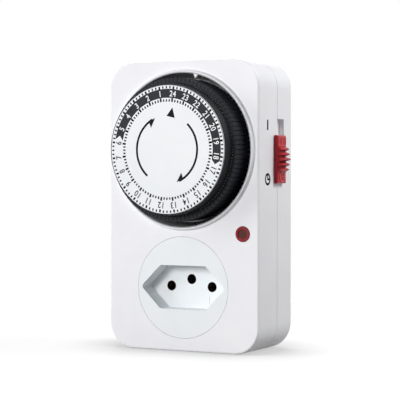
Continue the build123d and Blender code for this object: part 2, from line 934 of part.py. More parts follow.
motor_far = back_wall_depth - motor_back_gap
can_inner_radius = motor_radius - motor_skin
can_inner_depth = motor_far - motor_skin
with BuildPart() as motor_can:
    add(disc(motor_place, motor_radius, plate_back, motor_far))
    with BuildSketch(face(can_inner_depth)):
        with Locations(motor_place):
            Circle(can_inner_radius)
    extrude(amount=can_inner_depth - plate_back, mode=Mode.SUBTRACT)
    with BuildSketch(face(motor_far)):
        with Locations(motor_place):
            Circle(arbor_radius + running_gap)
    extrude(amount=motor_skin, mode=Mode.SUBTRACT)
save(motor_can.part, "motor_can")

claw_plate_far = plate_back + bobbin_wall
claw_far = can_inner_depth - claw_end_gap
claw_plate_radius = can_inner_radius - motor_side_gap
with BuildPart() as motor_claws:
    add(disc(motor_place, claw_plate_radius, plate_back, claw_plate_far, claw_radius - claw_edge))
    with BuildSketch(face(claw_far)):
        with Locations(motor_place):
            with PolarLocations(claw_radius + claw_thickness / 2, claw_count):
                Rectangle(claw_thickness, claw_width)
    extrude(amount=claw_far - claw_plate_far)
save(motor_claws.part, "motor_claws")

bobbin_near = claw_plate_far
bobbin_far = can_inner_depth - motor_side_gap
bobbin_tube_radius = bobbin_inner_radius + bobbin_wall
with BuildPart() as motor_bobbin:
    add(disc(motor_place, bobbin_tube_radius, bobbin_near, bobbin_far))
    add(disc(motor_place, bobbin_outer_radius, bobbin_near, bobbin_near + bobbin_wall))
    add(disc(motor_place, bobbin_outer_radius, bobbin_far - bobbin_wall, bobbin_far))
    with BuildSketch(face(bobbin_far)):
        with Locations(motor_place):
            Circle(bobbin_inner_radius)
    extrude(amount=bobbin_far - bobbin_near, mode=Mode.SUBTRACT)
save(motor_bobbin.part, "motor_bobbin")

winding_near = bobbin_near + bobbin_wall
winding_far = bobbin_far - bobbin_wall
save(disc(motor_place, winding_radius, winding_near, winding_far, bobbin_tube_radius), "motor_winding")

rotor_near = claw_plate_far + rotor_end_gap - bobbin_wall
rotor_far = can_inner_depth - rotor_back_gap
save(disc(motor_place, rotor_radius, rotor_near, rotor_far, arbor_radius), "rotor_magnet")

pinion_near = layer_depths[0]
with BuildPart() as rotor_shaft:
    add(disc(motor_place, arbor_radius, pinion_near, motor_far - running_gap))
    with BuildSketch(face(pinion_near + wheel_width)):
        with Locations(motor_place):
            Polygon(
                *gear_points(pinion_teeth, train_module, pinion_tooth, train_headings[0] + 180),
                align=None,
            )
    extrude(amount=wheel_width)
save(rotor_shaft.part, "rotor_shaft")

# --------------------------------------------------- follower and microswitch

with BuildPart() as follower_lever:
    add(
        slab(
            (nose_x - lever_half, pivot_height),
            (nose_x + lever_half, nose_place[1] + nose_outer_radius - nose_inner_radius + follower_top_margin),
            lever_near,
            lever_far,
        )
    )
    with BuildSketch(side(nose_x - lever_half)):
        with Locations((y_of(pivot_depth), pivot_height)):
            Circle(follower_knuckle_radius)
    extrude(amount=follower_width)
    with BuildSketch(side(nose_x - lever_half)):
        with Locations((y_of(pivot_depth), pivot_height)):
            Circle(follower_pin_radius + running_gap)
    extrude(amount=follower_width, mode=Mode.SUBTRACT)
    # nose that reaches through the bowl's floor to the tappets' feet
    with BuildSketch(face(lever_near)):
        with Locations(Location(nose_place, nose_angle)):
            Rectangle(nose_outer_radius - nose_inner_radius, nose_width)
    extrude(amount=lever_near - tappet_foot_depth - nose_gap)
save(follower_lever.part, "follower_lever")

with BuildPart() as follower_pin:
    with BuildSketch(side(nose_x - lug_far_x)):
        with Locations((y_of(pivot_depth), pivot_height)):
            Circle(follower_pin_radius)
    extrude(amount=2 * lug_far_x)
save(follower_pin.part, "follower_pin")

button_near = lever_far + button_gap
button_place = (nose_x, button_height)
button_hole_depth = button_near + button_length + button_travel_room
with BuildPart() as microswitch_case:
    add(
        slab(
            (nose_x - switch_thickness / 2, switch_low_height),
            (nose_x + switch_thickness / 2, switch_top_height),
            switch_depth,
            switch_back_depth,
        )
    )
    with BuildSketch(face(button_hole_depth)):
        with Locations(button_place):
            Circle(button_radius + running_gap)
    extrude(amount=button_hole_depth - switch_depth, mode=Mode.SUBTRACT)
    with BuildSketch(side(nose_x - switch_thickness / 2)):
        with Locations(*[(y_of(switch_screw_depth), height) for height in switch_screw_heights]):
            Circle(small_screw_radius + screw_gap)
    extrude(amount=switch_thickness, mode=Mode.SUBTRACT)
save(microswitch_case.part, "microswitch_case")

save(disc(button_place, button_radius, button_near, button_near + button_length), "microswitch_button")

terminal_heights = [switch_top_height - drop for drop in terminal_drops]
terminal_far = back_wall_depth - terminal_back_gap
terminals = []
for height in terminal_heights:
    low = (nose_x - terminal_thickness / 2, height - terminal_width / 2)
    high = (nose_x + terminal_thickness / 2, height + terminal_width / 2)
    terminals.append(slab(low, high, switch_back_depth, terminal_far))
save_group(terminals, "microswitch_terminals")

# Small screws: bowl ears, movement plate and microswitch
ear_back_depth = flange_back_depth + ear_thickness
small_screws = []
for place in ear_places:
    small_screws.append(
        screw(place, small_screw_radius, small_head_radius, small_head, ear_back_depth, ear_screw_reach)
    )
for place in pillar_places:
    small_screws.append(
        screw(place, small_screw_radius, small_head_radius, small_head, plate_back, plate_screw_reach)
    )
switch_face_x = nose_x + switch_thickness / 2
for height in switch_screw_heights:
    with BuildPart() as switch_screw:
        with BuildSketch(side(rib_far_x - switch_rib)):
            with Locations((y_of(switch_screw_depth), height)):
                Circle(small_screw_radius)
        extrude(amount=switch_face_x - rib_far_x + switch_rib)
        with BuildSketch(side(switch_face_x)):
            with Locations((y_of(switch_screw_depth), height)):
                Circle(small_head_radius)
        extrude(amount=small_head)
    small_screws.append(switch_screw.part)
save_group(small_screws, "small_screws")

# ---------------------------------------------------------- override slider

stem_near = split_depth + stem_side_gap
stem_far = slot_back - stem_side_gap
stem_low = slot_low + stem_end_gap
stem_high = slot_high - override_travel - stem_end_gap
bridge_far = bridge_front + bridge_width
bridge_x = slider_x - bridge_stand
block_middle = bridge_low + bridge_length / 2
with BuildPart() as override_slider:
    add(slab((slider_x, slider_low), (slider_x + slider_thickness, slider_top), slider_near, slider_far))
    add(slab((slider_x + slider_thickness, stem_low), (half_width + knob_gap, stem_high), stem_near, stem_far))
    add(
        slab(
            (bridge_x, block_middle - bridge_block_length / 2),
            (slider_x, block_middle + bridge_block_length / 2),
            bridge_front,
            bridge_far,
        )
    )
save(override_slider.part, "override_slider")

knob_x = half_width + knob_gap
knob_top_x = half_width + knob_stand
knob_middle = knob_low + knob_length / 2
with BuildPart() as override_knob:
    add(slab((knob_x, knob_low), (knob_top_x, knob_low + knob_length), knob_front, knob_back))
    fillet(override_knob.faces().sort_by(Axis.X)[-1].edges(), knob_round)
    # tapered grip ribs, the middle one highest
    for row in range(knob_ribs):
        rows_from_middle = row - (knob_ribs - 1) / 2
        rib_z = knob_middle + rows_from_middle * knob_rib_pitch
        crest_x = knob_top_x + knob_rib_stand - abs(rows_from_middle) * knob_rib_fall
        with BuildSketch(face(knob_back - knob_round)):
            with BuildLine():
                Polyline(
                    (knob_x, rib_z - knob_rib_width / 2),
                    (knob_top_x, rib_z - knob_rib_width / 2),
                    (crest_x, rib_z - knob_rib_crest / 2),
                    (crest_x, rib_z + knob_rib_crest / 2),
                    (knob_top_x, rib_z + knob_rib_width / 2),
                    (knob_x, rib_z + knob_rib_width / 2),
                    close=True,
                )
            make_face()
        extrude(amount=knob_back - knob_front - 2 * knob_round)
    crests = override_knob.faces().filter_by(Plane.YZ).sort_by(Axis.X)[-knob_ribs:]
    fillet(crests.edges().filter_by(Axis.Y), knob_rib_crest / 3)
save(override_knob.part, "override_knob")

bridge_top = bridge_low + bridge_length
bridge_near_x = bridge_x - bridge_thickness
save(slab((bridge_near_x, bridge_low), (bridge_x, bridge_top), bridge_front, bridge_far), "override_bridge")

# ------------------------------------------------- socket insert and contacts

with BuildPart() as socket_insert:
    add(disc(socket_centre, insert_radius, 0, wall + seat_gap))
    add(disc(socket_centre, insert_flange_radius, wall + seat_gap, wall + seat_gap + insert_flange))
    add(
        hexagon_prism(
            recess_half_width, recess_half_height, recess_flat_half, recess_round, cup_wall, wall, cup_back_depth
        )
    )
    add(
        hexagon_prism(
            recess_half_width, recess_half_height, recess_flat_half, recess_round, 0, 0, recess_depth
        ),
        mode=Mode.SUBTRACT,
    )
    with BuildSketch(face(cup_back_depth)):
        with Locations(socket_centre):
            with Locations(*pin_places):
                Circle(hole_radius)
    extrude(amount=cup_wall, mode=Mode.SUBTRACT)
save(socket_insert.part, "socket_insert")

carrier_near = cup_back_depth + seat_gap
carrier_far = carrier_near + carrier_length
carrier_side = contact_outer_radius + carrier_wall
carrier_low = socket_height - carrier_side
carrier_high = socket_height + earth_offset + carrier_side
leg_low = socket_height + earth_offset / 2 - leg_width / 2
with BuildPart() as contact_carrier:
    add(
        slab(
            (-pin_spacing / 2 - carrier_side, carrier_low),
            (pin_spacing / 2 + carrier_side, carrier_high),
            carrier_near,
            carrier_far,
        )
    )
    add(
        slab(
            (-carrier_half_width, leg_low),
            (carrier_half_width, leg_low + leg_width),
            carrier_near,
            carrier_near + carrier_flange,
        )
    )
    for sign in (-1, 1):
        inner_x = sign * (carrier_half_width - leg_thickness)
        outer_x = sign * carrier_half_width
        add(
            slab(
                (min(inner_x, outer_x), leg_low),
                (max(inner_x, outer_x), leg_low + leg_width),
                carrier_near,
                back_wall_depth - seat_gap,
            )
        )
    with BuildSketch(face(carrier_far)):
        with Locations(socket_centre):
            with Locations(*pin_places):
                Circle(contact_outer_radius + seat_gap)
    extrude(amount=carrier_length, mode=Mode.SUBTRACT)
save(contact_carrier.part, "contact_carrier")

# Contacts: a slit sleeve behind each hole, with a strap led off its back end
strap_near = contact_end - strap_width + contact_start_gap
strap_reach = contact_outer_radius - contact_wall / 2
strap_outer = strap_reach + strap_thickness
strap_foot_far = boss_inner_depth - seat_gap - pin_flange
live_place = (pin_spacing / 2, socket_height)
earth_place = (0.0, socket_height + earth_offset)
half_strap = strap_width / 2


def sleeve(place, slit_angle):
    """Slit round contact behind one of the socket's holes."""
    with BuildPart() as sleeve_part:
        add(disc(place, contact_outer_radius, contact_start, contact_end, contact_inner_radius))
        with BuildSketch(face(contact_end)):
            with Locations(Location(about(place, contact_outer_radius, slit_angle), slit_angle)):
                Rectangle(2 * contact_wall + contact_gap, contact_slit)
        extrude(amount=contact_length, mode=Mode.SUBTRACT)
    return sleeve_part.part


low_terminal, middle_terminal = terminal_heights[0], terminal_heights[1]
terminal_side = nose_x + terminal_thickness / 2
strap_x = live_place[0] + strap_reach
strap_out_x = live_place[0] + strap_outer
branch_near = switch_back_depth + button_gap
branch_far = branch_near + strap_thickness
blade_x = bridge_near_x - blade_gap
branch_low = low_terminal - terminal_width / 2
branch_high = low_terminal + terminal_width / 2
with BuildPart() as live_contact:
    add(sleeve(live_place, 180))
    add(slab((strap_x, socket_height - half_strap), (strap_out_x, branch_high), strap_near, contact_end))
    add(slab((strap_x, branch_low), (strap_out_x, branch_high), strap_near, branch_far))
    # arm to the microswitch's near terminal, and arm to the override's upper blade
    add(slab((terminal_side, branch_low), (strap_out_x, branch_high), branch_near, branch_far))
    add(slab((strap_x, branch_low), (blade_x, branch_high), branch_near, branch_far))
    add(slab((blade_x - bridge_thickness, high_blade), (blade_x, branch_high), bridge_front, branch_far))
save(live_contact.part, "live_contact")

with BuildPart() as neutral_contact:
    neutral_place = (-live_place[0], socket_height)
    add(sleeve(neutral_place, 0))
    outer_x = neutral_place[0] - strap_outer
    low = (outer_x, socket_height - half_strap)
    add(slab(low, (neutral_place[0] - strap_reach, socket_height + half_strap), strap_near, strap_foot_far))
    foot_high = (neutral_place[0] + half_strap, socket_height + half_strap)
    add(slab(low, foot_high, strap_foot_far - strap_thickness, strap_foot_far))
save(neutral_contact.part, "neutral_contact")

with BuildPart() as earth_contact:
    add(sleeve(earth_place, 270))
    high = (half_strap, earth_place[1] + strap_outer)
    add(slab((-half_strap, earth_place[1] + strap_reach), high, strap_near, strap_foot_far))
    foot_low = (-half_strap, earth_place[1] - half_strap)
    add(slab(foot_low, high, strap_foot_far - strap_thickness, strap_foot_far))
save(earth_contact.part, "earth_contact")

# Supply strap: from the live pin up the back wall to the microswitch
run_far = back_wall_depth - strap_back_gap
run_near = run_far - strap_thickness
riser_x = live_place[0] + strap_outer - strap_thickness + strap_side_gap
run_outer = supply_run_inner + supply_run_width
run_top = middle_terminal + terminal_width / 2
with BuildPart() as supply_strap:
    low = (live_place[0] - half_strap, socket_height - half_strap)
    high = (riser_x + strap_thickness, socket_height + half_strap)
    add(slab(low, high, strap_foot_far - strap_thickness, strap_foot_far))
    add(slab((riser_x, low[1]), high, run_near, strap_foot_far))
    add(slab((riser_x, low[1]), (run_outer, high[1]), run_near, run_far))
    add(slab((supply_run_inner, low[1]), (run_outer, run_top), run_near, run_far))
    add(slab((terminal_side, middle_terminal - terminal_width / 2), (run_outer, run_top), run_near, run_far))
    # arm and blade for the override bridge
    add(slab((supply_run_inner, low_blade), (blade_x, low_blade + blade_width), run_near, run_far))
    blade_low = (blade_x - bridge_thickness, low_blade)
    add(slab(blade_low, (blade_x, low_blade + blade_width), bridge_front, run_far))
save(supply_strap.part, "supply_strap")

plug_pins = []
for offset in pin_places:
    centre = (socket_centre[0] + offset[0], socket_centre[1] + offset[1])
    with BuildPart() as pin:
        add(disc(centre, pin_flange_radius, strap_foot_far, boss_inner_depth - seat_gap))
        add(disc(centre, pin_shank_radius, boss_inner_depth - seat_gap, boss_back_depth))
        add(disc(centre, pin_radius, boss_back_depth, boss_back_depth + pin_length))
        fillet(pin.faces().sort_by(Axis.Y)[-1].edges(), pin_tip_round)
    plug_pins.append(pin.part)
save_group(plug_pins, "plug_pins")

# ------------------------------------------------------------- the pilot lamp

lens_seat = wall + seat_gap
with BuildPart() as pilot_lens:
    add(disc(lamp_centre, lens_radius, -lens_stand, lens_sleeve_depth))
    add(disc(lamp_centre, lens_flange_radius, lens_seat, lens_seat + lens_flange))
    with BuildSketch(face(lens_dish - lens_stand)):
        with Locations(lamp_centre):
            Circle(lens_centre_radius)
    extrude(amount=lens_dish, mode=Mode.SUBTRACT)
    with BuildSketch(face(lens_sleeve_depth)):
        with Locations(lamp_centre):
            Circle(neon_radius + running_gap)
    extrude(amount=lens_sleeve_depth - lens_bore_depth, mode=Mode.SUBTRACT)
save(pilot_lens.part, "pilot_lens")

with BuildPart() as neon_lamp:
    add(disc(lamp_centre, neon_radius, neon_near, neon_far))
    fillet(neon_lamp.faces().sort_by(Axis.Y)[0].edges(), neon_radius / 2)
    add(disc(lamp_centre, lead_radius, neon_far, resistor_near))
save(neon_lamp.part, "neon_lamp")

save(disc(lamp_centre, resistor_radius, resistor_near, resistor_far), "lamp_resistor")
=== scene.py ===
from math import cos, radians, sin

import bmesh
import bpy
from mathutils import Matrix, Vector


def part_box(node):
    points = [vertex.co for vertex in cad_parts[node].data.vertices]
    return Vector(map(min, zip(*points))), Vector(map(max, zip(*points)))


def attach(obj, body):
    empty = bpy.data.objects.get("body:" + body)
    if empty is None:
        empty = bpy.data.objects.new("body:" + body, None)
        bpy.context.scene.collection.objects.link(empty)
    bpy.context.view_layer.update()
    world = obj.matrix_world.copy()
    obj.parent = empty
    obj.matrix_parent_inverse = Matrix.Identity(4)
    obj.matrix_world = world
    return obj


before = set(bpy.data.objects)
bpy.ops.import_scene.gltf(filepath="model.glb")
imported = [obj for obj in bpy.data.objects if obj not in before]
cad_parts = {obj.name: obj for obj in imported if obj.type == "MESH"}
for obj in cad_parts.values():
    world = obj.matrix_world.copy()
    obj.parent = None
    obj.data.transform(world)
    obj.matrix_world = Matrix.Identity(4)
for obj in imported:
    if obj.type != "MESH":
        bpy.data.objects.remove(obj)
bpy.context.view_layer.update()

MM = 0.001


def middle_of(node):
    low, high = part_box(node)
    return (low + high) / 2 / MM


# --------------------------------------- places in millimetres, from the frame

FRONT_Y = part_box("socket_insert")[0].y / MM
FACE_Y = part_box("dial_face")[0].y / MM
SIDE_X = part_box("front_housing")[1].x / MM
DIAL_Z = middle_of("dial_face").z
SOCKET_Z = middle_of("socket_insert").z
LAMP = middle_of("pilot_lens")

# ------------------------------------------ print and relief, in millimetres
# Angles are in degrees, counterclockwise from the right as the user sees the dial.
# Points on the dial are a radius and an angle. Boxes are left, low, right and high,
# where left and right on the side are depths from the front face.

# lower and upper level of each kind of mark, counted outwards from the face that carries it
INK = (-0.004, 0.008)
THICK_INK = (-0.004, 0.01)
NOTCH_INK = (0.002, 0.012)
ARROWHEAD_INK = (-0.003, 0.009)
RAISED_MARK = (-0.05, 0.22)
RAISED_PANEL = (-0.05, 0.16)
POINTER_TAB = (0.9, 1.5)
# the black sleeves in the holes are painted shade
SHADE_SLEEVE_LEVELS = (-1.9, -0.02)

# the hours run counterclockwise from the angle of the digits 24
HOURS = 24
QUARTERS = 4
HOUR_ZERO = 82.85

# half width of a tick, then the stretches of radius that it covers
HOUR_TICK = (0.4, ((24.25, 25.45), (19.2, 20.7)))
QUARTER_TICK = (0.31, ((24.5, 25.45), (19.2, 20.2)))

RIM_IN, RIM_OUT = 25.78, 25.98
RIM_BLOCKS = 144

BAND_IN, BAND_OUT = 20.75, 24.35
BAND_MIDDLE = (BAND_IN + BAND_OUT) / 2
BAND_START, BAND_END = -11.2, 169.6
BAND_TIP = -15.4
BAND_BLOCKS = 90
NOTCH = ((BAND_MIDDLE, 165.2), (BAND_OUT + 0.01, 169.7), (BAND_MIDDLE, 169.9), (BAND_IN - 0.01, 169.7))

FIRST_EVENING_HOUR, LAST_MORNING_HOUR = 18, 5
DIGIT_RADIUS = 22.5
DIGIT_SQUEEZE = 0.85
DIGIT_SPACING = 1.1
DIGIT_BOLD = 0.055
DARK_DIGIT_SIZE, LIGHT_DIGIT_SIZE = 3.5, 3.3
DARK_DIGIT_LIFT, LIGHT_DIGIT_LIFT = 0.008, 0.014

MIDDLE_MARK = ((17.0, 81.2), (13.5, 90.4), (13.15, 73.8))

ARROW_IN, ARROW_OUT = 13.35, 14.25
ARROW_SPANS = ((230.0, 118.0), (47.5, -65.5))
ARROW_BLOCKS = 48
# the angles of the head are counted from the end of the arrow's arc
ARROWHEAD = ((13.8, -5.5), (14.2, 10.0), (13.0, 9.0), (11.4, 11.5))

# the angles of the pointer's corners are counted from its middle line
POINTER_ANGLE = 77.4
POINTER = ((31.55, 1.9), (31.55, -1.9), (29.75, 0.0))

# centre, outer and inner radius of a clock mark, and the width of its hands
SIDE_CLOCK = ((8.33, 70.6), 2.55, 1.6, 0.85)
KNOB_CLOCK = ((18.5, 71.6), 2.2, 1.75, 0.45)
HAND_UP, HAND_ACROSS = 0.7, 0.62
CLOCK_BLOCKS = 48
SIDE_ON_MARK = (7.65, 90.45, 8.95, 94.65)
KNOB_ON_MARK = (18.1, 85.0, 18.7, 87.2)
KNOB_FRAME = (14.9, 84.3, 21.9, 87.9)
KNOB_FRAME_EDGE = 0.32
# how far the flat ends of the override knob stand out of the side
KNOB_REACH = 1.7

RECESS_DEPTH = 8.0
PANEL = (-9.4, -7.5, 8.3, -3.9)
HOLES = ((9.5, 0.0), (-9.5, 0.0), (0.0, 3.0))
# radii of the black sleeves painted as shade in the holes
SHADE_SLEEVE_IN, SHADE_SLEEVE_OUT = 2.03, 2.09
SHADE_SLEEVE_BLOCKS = 40
LENS_RADIUS = 3.1


# --------------------------------------------------------------- shader nodes

def add_noise(tree, coords, scale, detail):
    node = tree.nodes.new("ShaderNodeTexNoise")
    node.inputs["Scale"].default_value = scale
    node.inputs["Detail"].default_value = detail
    tree.links.new(coords, node.inputs["Vector"])
    return node.outputs["Fac"]


def add_ramp(tree, value, stops):
    """Colours that follow a value, from stops of position and colour in order."""
    node = tree.nodes.new("ShaderNodeValToRGB")
    elements = node.color_ramp.elements
    for element, (position, colour) in zip((elements[0], elements[1]), (stops[0], stops[-1])):
        element.position = position
        element.color = (*colour, 1)
    for position, colour in stops[1:-1]:
        elements.new(position).color = (*colour, 1)
    tree.links.new(value, node.inputs["Fac"])
    return node.outputs["Color"]


def add_range(tree, value, start=0.0, end=1.0, low=0.0, high=1.0, curve="LINEAR"):
    """Spreads a value's stretch from start to end over low to high."""
    node = tree.nodes.new("ShaderNodeMapRange")
    node.interpolation_type = curve
    for socket, amount in (("From Min", start), ("From Max", end), ("To Min", low), ("To Max", high)):
        node.inputs[socket].default_value = amount
    tree.links.new(value, node.inputs["Value"])
    return node.outputs["Result"]


def add_vector_math(tree, operation, vector, constant=None):
    node = tree.nodes.new("ShaderNodeVectorMath")
    node.operation = operation
    if constant is not None:
        node.inputs[1].default_value = constant
    tree.links.new(vector, node.inputs[0])
    return node.outputs["Value" if operation == "LENGTH" else "Vector"]


def add_larger(tree, first, second):
    node = tree.nodes.new("ShaderNodeMath")
    node.operation = "MAXIMUM"
    tree.links.new(first, node.inputs[0])
    tree.links.new(second, node.inputs[1])
    return node.outputs["Value"]


def add_mix(tree, share, first, second):
    node = tree.nodes.new("ShaderNodeMixShader")
    tree.links.new(share, node.inputs["Fac"])
    tree.links.new(first, node.inputs[1])
    tree.links.new(second, node.inputs[2])
    return node.outputs["Shader"]


def add_diffuse(tree, grey):
    node = tree.nodes.new("ShaderNodeBsdfDiffuse")
    node.inputs["Color"].default_value = (grey, grey, grey, 1)
    return node.outputs["BSDF"]


def add_seen(tree):
    """One for camera, glossy and transmission rays, zero for the rays that light a surface."""
    path = tree.nodes.new("ShaderNodeLightPath").outputs
    shown = add_larger(tree, path["Is Camera Ray"], path["Is Glossy Ray"])
    return add_larger(tree, shown, path["Is Transmission Ray"])


# ------------------------------------------------------------------ materials

# the middle of the noise's range, over which a finish changes colour
PATCH_LOW, PATCH_HIGH = 0.3, 0.7
PATCH_DETAIL, GLOSS_DETAIL, GRAIN_DETAIL = 3, 4, 2
GLOSS_SCALE = 5
GRAIN_DEPTH = 0.2 * MM


def finish(name, low, high, rough=(0.35, 0.45), patch=60, grain=4000, bump=0.04, metal=0.0, coat=0.0,
           shine=0.5, extra=None):
    """Plastic or metal whose colour, gloss and grain vary a little over the surface."""
    material = bpy.data.materials.new(name)
    material.use_nodes = True
    tree = material.node_tree
    shader = tree.nodes["Principled BSDF"]
    shader.inputs["Metallic"].default_value = metal
    shader.inputs["Coat Weight"].default_value = coat
    shader.inputs["Specular IOR Level"].default_value = shine
    coords = tree.nodes.new("ShaderNodeTexCoord").outputs["Object"]
    patches = add_noise(tree, coords, patch, PATCH_DETAIL)
    colour = add_ramp(tree, patches, [(PATCH_LOW, low), (PATCH_HIGH, high)])
    tree.links.new(colour, shader.inputs["Base Color"])
    gloss = add_noise(tree, coords, patch * GLOSS_SCALE, GLOSS_DETAIL)
    tree.links.new(add_range(tree, gloss, low=rough[0], high=rough[1]), shader.inputs["Roughness"])
    relief = tree.nodes.new("ShaderNodeBump")
    relief.inputs["Strength"].default_value = bump
    relief.inputs["Distance"].default_value = GRAIN_DEPTH
    tree.links.new(add_noise(tree, coords, grain, GRAIN_DETAIL), relief.inputs["Height"])
    tree.links.new(relief.outputs["Normal"], shader.inputs["Normal"])
    if extra:
        extra(shader)
    return material


def lens_colour(shader):
    """Painted shade in the centre inside a painted highlight ring of brighter red, by the distance from
    the lamp's axis.
    """
    tree = shader.id_data
    coords = tree.nodes.new("ShaderNodeTexCoord").outputs["Object"]
    from_lamp = add_vector_math(tree, "SUBTRACT", coords, LAMP * MM)
    from_axis = add_vector_math(tree, "MULTIPLY", from_lamp, (1, 0, 1))
    reach = add_range(tree, add_vector_math(tree, "LENGTH", from_axis), end=LENS_RADIUS * MM)
    # painted shade over the centre, a painted highlight ring near the edge
    colour = add_ramp(tree, reach, [
        (0.0, (0.085, 0.018, 0.012)),
        (0.6, (0.10, 0.018, 0.013)),
        (0.74, (0.40, 0.016, 0.026)),
        (1.0, (0.20, 0.010, 0.018)),
    ])
    tree.links.new(colour, shader.inputs["Base Color"])
    shader.inputs["Transmission Weight"].default_value = 0.08
    shader.inputs["IOR"].default_value = 1.49


def glassy(shader):
    shader.inputs["Transmission Weight"].default_value = 0.9
    shader.inputs["IOR"].default_value = 1.5


# outside plastics
white_case = finish("white_case_plastic", (0.83, 0.83, 0.86), (0.86, 0.86, 0.885), (0.32, 0.42))
# the slider's white is a brighter copy of the case white, painted light that brightens the slot it sits
# in
slider_white_painted_light = finish("slider_plastic_painted_light", (0.90, 0.90, 0.92), (0.93, 0.93, 0.94), (0.3, 0.4))
white_insert = finish("white_insert_plastic", (0.80, 0.835, 0.86), (0.83, 0.86, 0.88), (0.35, 0.45))
face_film = finish("dial_face_film", (0.80, 0.83, 0.85), (0.85, 0.86, 0.88), (0.4, 0.5), 40)
drum_white = finish("drum_plastic", (0.72, 0.72, 0.73), (0.78, 0.78, 0.79))
bowl_grey = finish(
    "bowl_plastic", (0.40, 0.405, 0.42), (0.46, 0.465, 0.48), (0.1, 0.16), coat=1.0, shine=1.0,
)
black_knob = finish(
    "knob_plastic", (0.006, 0.006, 0.008), (0.009, 0.010, 0.013), (0.42, 0.54), bump=0.15, shine=0.14,
)
black_tappet = finish(
    "tappet_plastic", (0.005, 0.006, 0.009), (0.008, 0.009, 0.013), (0.42, 0.52), bump=0.1, shine=0.16,
)
red_knob = finish("red_plastic", (0.38, 0.011, 0.021), (0.45, 0.016, 0.027), (0.38, 0.5), shine=0.25)
red_mark = finish("raised_red_marks", (0.58, 0.05, 0.065), (0.66, 0.07, 0.08), (0.3, 0.4), shine=0.4)
# the lens colour holds painted shade in its centre and a painted highlight ring
red_lens = finish(
    "red_lens_plastic", (0.3, 0.02, 0.03), (0.36, 0.03, 0.04), (0.12, 0.18), shine=0.3, extra=lens_colour,
)

# inside plastics, metals and the lamp
natural = finish("natural_acetal", (0.78, 0.75, 0.67), (0.84, 0.82, 0.75), (0.35, 0.5))
grey = finish("grey_moulding", (0.17, 0.17, 0.18), (0.24, 0.24, 0.25))
button_red = finish("button_moulding", (0.5, 0.05, 0.05), (0.6, 0.08, 0.07))
screw_steel = finish("zinc_screw", (0.55, 0.56, 0.58), (0.66, 0.67, 0.69), (0.25, 0.4), 200, metal=1.0)
sheet_steel = finish("zinc_sheet", (0.5, 0.51, 0.53), (0.6, 0.61, 0.63), (0.3, 0.45), 120, metal=1.0)
brass = finish("contact_strip", (0.32, 0.22, 0.09), (0.42, 0.30, 0.13), (0.3, 0.45), 150, metal=1.0)
nickel = finish("plated_pins", (0.66, 0.64, 0.6), (0.75, 0.73, 0.69), (0.15, 0.28), 150, metal=1.0)
copper = finish(
    "enamelled_wire", (0.55, 0.22, 0.1), (0.7, 0.32, 0.16), (0.3, 0.4), 400, 9000, 0.4, metal=1.0,
)
ferrite = finish("ferrite_grain", (0.05, 0.05, 0.052), (0.08, 0.08, 0.082), (0.55, 0.7), 300, 6000, 0.3)
neon = finish("neon_envelope", (0.85, 0.7, 0.62), (0.9, 0.78, 0.7), (0.05, 0.1), extra=glassy)
resistor = finish("resistor_body", (0.45, 0.36, 0.22), (0.55, 0.45, 0.3), (0.4, 0.55), 200)

# inks
ink_black = finish(
    "print_black", (0.002, 0.002, 0.003), (0.005, 0.005, 0.006), (0.6, 0.7), 300, shine=0.1,
)
ink_band = finish(
    "print_charcoal", (0.018, 0.019, 0.023), (0.026, 0.027, 0.032), (0.55, 0.65), 300, shine=0.15,
)
ink_white = finish("print_white", (0.86, 0.87, 0.88), (0.9, 0.9, 0.91), (0.5, 0.6), 300)

finishes = {
    white_case: ["front_housing", "rear_housing"],
    slider_white_painted_light: ["override_slider"],
    white_insert: ["socket_insert"],
    face_film: ["dial_face"],
    drum_white: ["dial_carrier"],
    bowl_grey: ["dial_bowl"],
    black_knob: ["dial_knob"],
    black_tappet: [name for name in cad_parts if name.startswith("tappets_")],
    red_knob: ["override_knob"],
    red_lens: ["pilot_lens"],
    natural: [
        "wheel_1", "wheel_2", "wheel_3", "wheel_4", "clutch_wheel", "output_pinion", "follower_lever",
        "motor_bobbin",
    ],
    grey: ["contact_carrier", "microswitch_case"],
    button_red: ["microswitch_button"],
    screw_steel: [
        "case_screws", "small_screws", "dial_screw", "dial_washer", "gear_arbors", "rotor_shaft",
        "output_shaft", "clutch_clip", "follower_pin",
    ],
    sheet_steel: ["motor_can", "motor_claws", "movement_plate"],
    brass: [
        "live_contact", "neutral_contact", "earth_contact", "supply_strap", "microswitch_terminals",
        "override_bridge",
    ],
    nickel: ["plug_pins"],
    copper: ["motor_winding"],
    ferrite: ["rotor_magnet"],
    neon: ["neon_lamp"],
    resistor: ["lamp_resistor"],
}
for material, names in finishes.items():
    for name in names:
        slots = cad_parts[name].data.materials
        slots.clear()
        slots.append(material)


# -------------------------------------------------------------------- drawing

def on_front(height, y):
    """Places drawing points seen from the front: u to the right, v up, lift towards the user."""
    return lambda u, v, lift: Vector((u, y - lift, height + v)) * MM


def on_side(x):
    """Places drawing points seen from the right: u is the depth from the front face, v the height."""
    return lambda u, v, lift: Vector((x + lift, FRONT_Y + u, v)) * MM


def moved(place, centre):
    """The same placing, with its origin moved to a point of the drawing."""
    return lambda u, v, lift: place(centre[0] + u, centre[1] + v, lift)


def polar(radius, angle):
    return radius * cos(radians(angle)), radius * sin(radians(angle))


def polar_outline(points, turn=0.0):
    return [polar(radius, turn + angle) for radius, angle in points]


def rectangle(left, low, right, high):
    return [(left, low), (right, low), (right, high), (left, high)]


def prism(drawing, outline, place, levels):
    """Flat shape between two levels, from its outline in order."""
    back, front = [[drawing.verts.new(place(u, v, level)) for u, v in outline] for level in levels]
    drawing.faces.new(front)
    drawing.faces.new(back[::-1])
    for i in range(len(outline)):
        j = (i + 1) % len(outline)
        drawing.faces.new((back[i], back[j], front[j], front[i]))


def ring(drawing, inner, outer, start, end, blocks, place, levels):
    """Stretch of a ring between two angles, as short blocks side by side."""
    for i in range(blocks):
        near = start + (end - start) * i / blocks
        far = start + (end - start) * (i + 1) / blocks
        corners = ((inner, near), (outer, near), (outer, far), (inner, far))
        prism(drawing, polar_outline(corners), place, levels)


